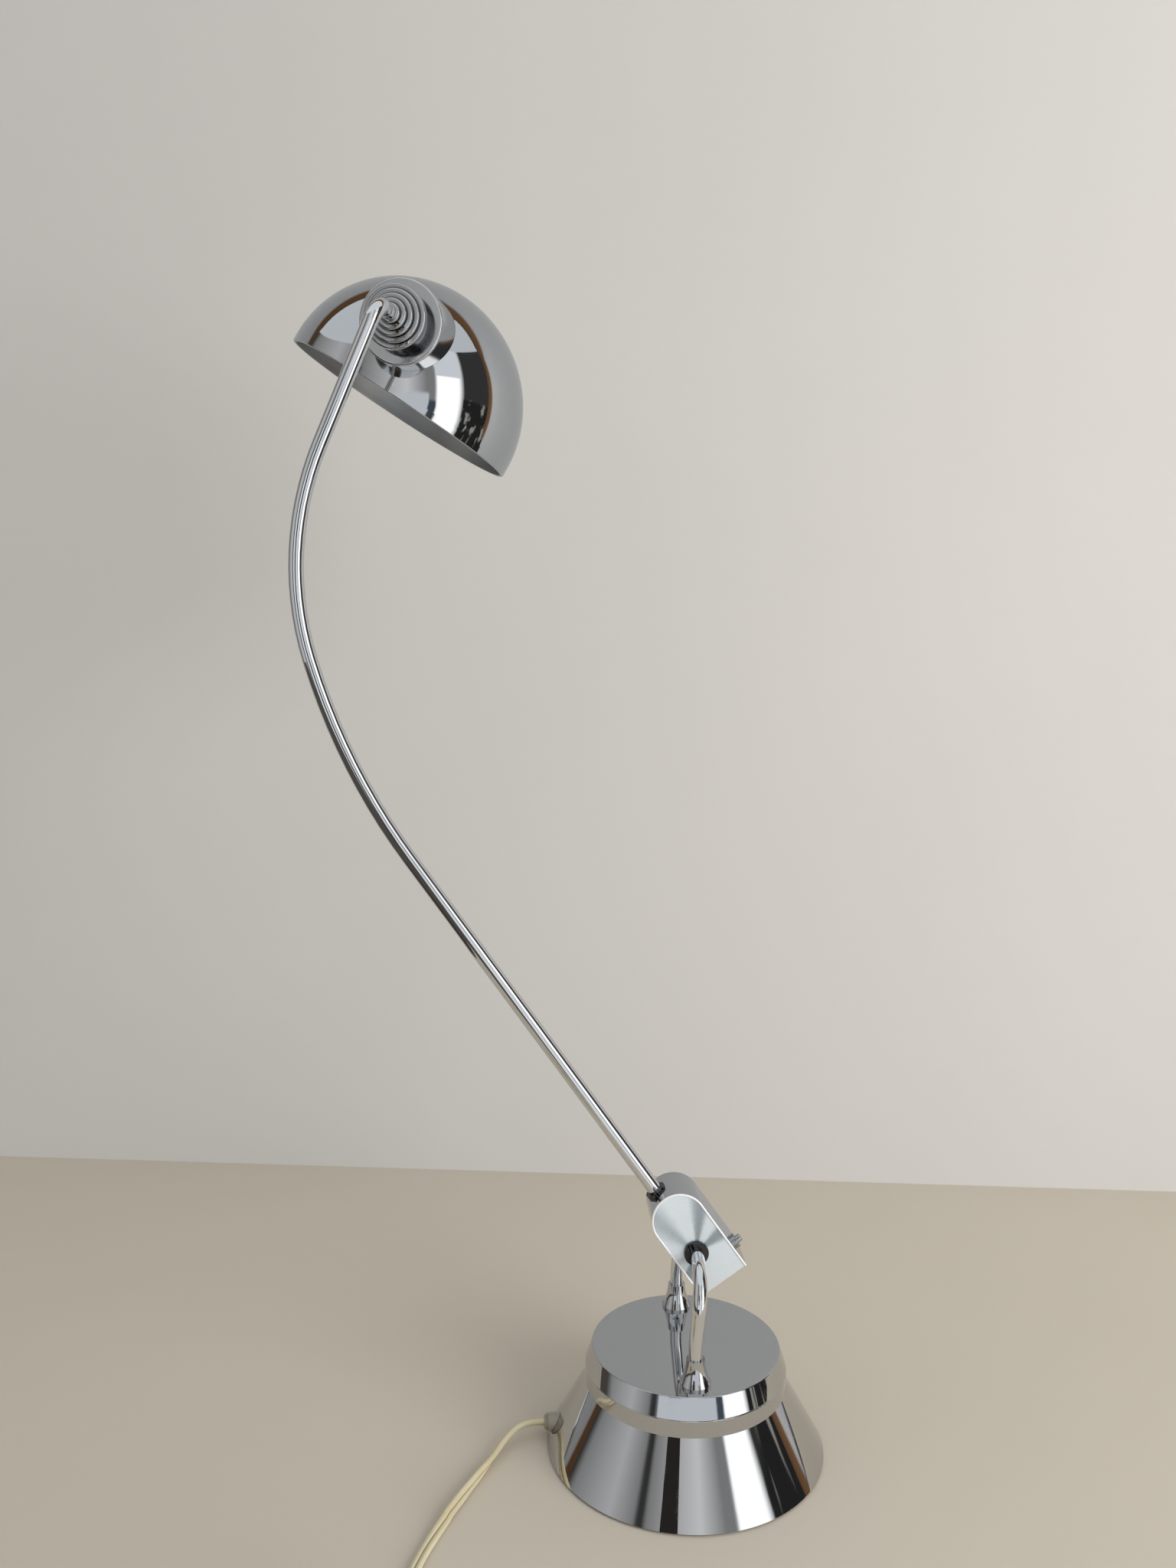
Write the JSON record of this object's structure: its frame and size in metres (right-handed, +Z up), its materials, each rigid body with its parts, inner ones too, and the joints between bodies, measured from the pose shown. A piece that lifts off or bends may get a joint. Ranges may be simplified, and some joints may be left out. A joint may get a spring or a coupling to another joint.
{
  "type": "desk lamp",
  "caption": "Chrome desk lamp: flared round foot, forked tilting hinge with push switch, long bent arm, half-round shade on a ringed side swivel, cord with plug.",
  "frame": {"origin": "middle of the face the foot stands on", "axes": "+Z up; the arm leans towards -X; the hinge's tilt axis is +Y; the shade hangs on the +Y side of the arm"},
  "size_m": [0.3935, 0.412, 0.6745],
  "materials": {
    "chrome": "bright mirror chrome plate",
    "steel": "plain zinc-plated steel",
    "cast_weight": "rough black-dipped casting",
    "brass": "bright brass",
    "cap_metal": "thin rolled aluminium",
    "solder": "dull solder",
    "nickel": "polished nickel plate",
    "dark_plastic": "dark moulded plastic, fine sheen",
    "holder_plastic": "heat-proof moulding",
    "terminal_plastic": "natural nylon",
    "fibre": "vulcanised fibre",
    "pad": "soft foam rubber",
    "cord": "clear yellowed vinyl over stranded copper",
    "plug": "moulded ivory vinyl",
    "tie": "soft black strap",
    "bulb_glass": "frosted inside",
    "seal_glass": "black glass",
    "tungsten": "drawn wire"
  },
  "bodies": {
    "base": {"base_pad": "pad", "base_plate": "steel", "plate_screws": "steel", "base_cover": "chrome", "base_cap": "chrome", "ballast": "cast_weight", "centre_bolt": "steel", "terminal_block": "terminal_plastic", "terminal_screws": "brass", "inner_cord": "cord", "post_front": "chrome", "post_rear": "chrome", "post_ferrules": "chrome", "post_washers": "steel", "post_nuts": "steel", "pivot_clips": "steel", "pivot_washers": "steel", "cord_relief": "plug", "cord_lead": "cord", "cord_coil": "cord", "cord_tail": "cord", "coil_tie": "tie", "plug_body": "plug", "plug_pins": "brass"},
    "hinge_case": {"hinge_strip": "chrome", "hinge_plate_front": "chrome", "hinge_plate_rear": "chrome", "hinge_end_plate": "chrome", "pivot_bush_front": "nickel", "pivot_bush_rear": "nickel", "arm_socket": "steel", "arm_ring": "nickel", "switch_body": "dark_plastic", "switch_collar": "nickel"},
    "button": {"switch_button": "chrome"},
    "arm": {"arm_tube": "chrome", "arm_lead": "terminal_plastic", "arm_nut": "steel", "arm_washer": "steel", "arm_collar": "chrome", "swivel_nipple": "steel", "swivel_washer": "steel", "swivel_nut": "steel"},
    "head": {"swivel_hub": "chrome", "friction_washer": "fibre", "shade": "chrome", "holder_cup": "chrome", "holder_bracket": "steel", "lampholder_body": "holder_plastic", "lampholder_sleeve": "brass", "lampholder_contact": "brass", "bulb_contact": "solder", "bulb_seal": "seal_glass", "bulb_cap": "cap_metal", "bulb_glass": "bulb_glass", "bulb_stem": "bulb_glass", "bulb_filament": "tungsten"}
  },
  "joints": [
    {"name": "arm_tilt", "type": "hinge", "parent": "base", "child": "hinge_case", "pos_m": [0.0035, 0, 0.118], "axis": [0, 1, 0], "range_deg": [-30, 50]},
    {"name": "arm_turn", "type": "hinge", "parent": "hinge_case", "child": "arm", "pos_m": [0.0035, 0, 0.118], "axis": [-0.5835, 0, 0.8121], "range_deg": [-150, 150]},
    {"name": "head_turn", "type": "hinge", "parent": "arm", "child": "head", "pos_m": [-0.16353, -0.02659, 0.61981], "axis": [0.1354, 0.986, 0.0973], "range_deg": [-120, 120]},
    {"name": "switch_press", "type": "slide", "parent": "hinge_case", "child": "button", "axis": [-0.8121, 0, -0.5835], "range_m": [0, 0.0015], "stiffness_N_per_m": 400, "springref_m": -0.001}
  ]
}
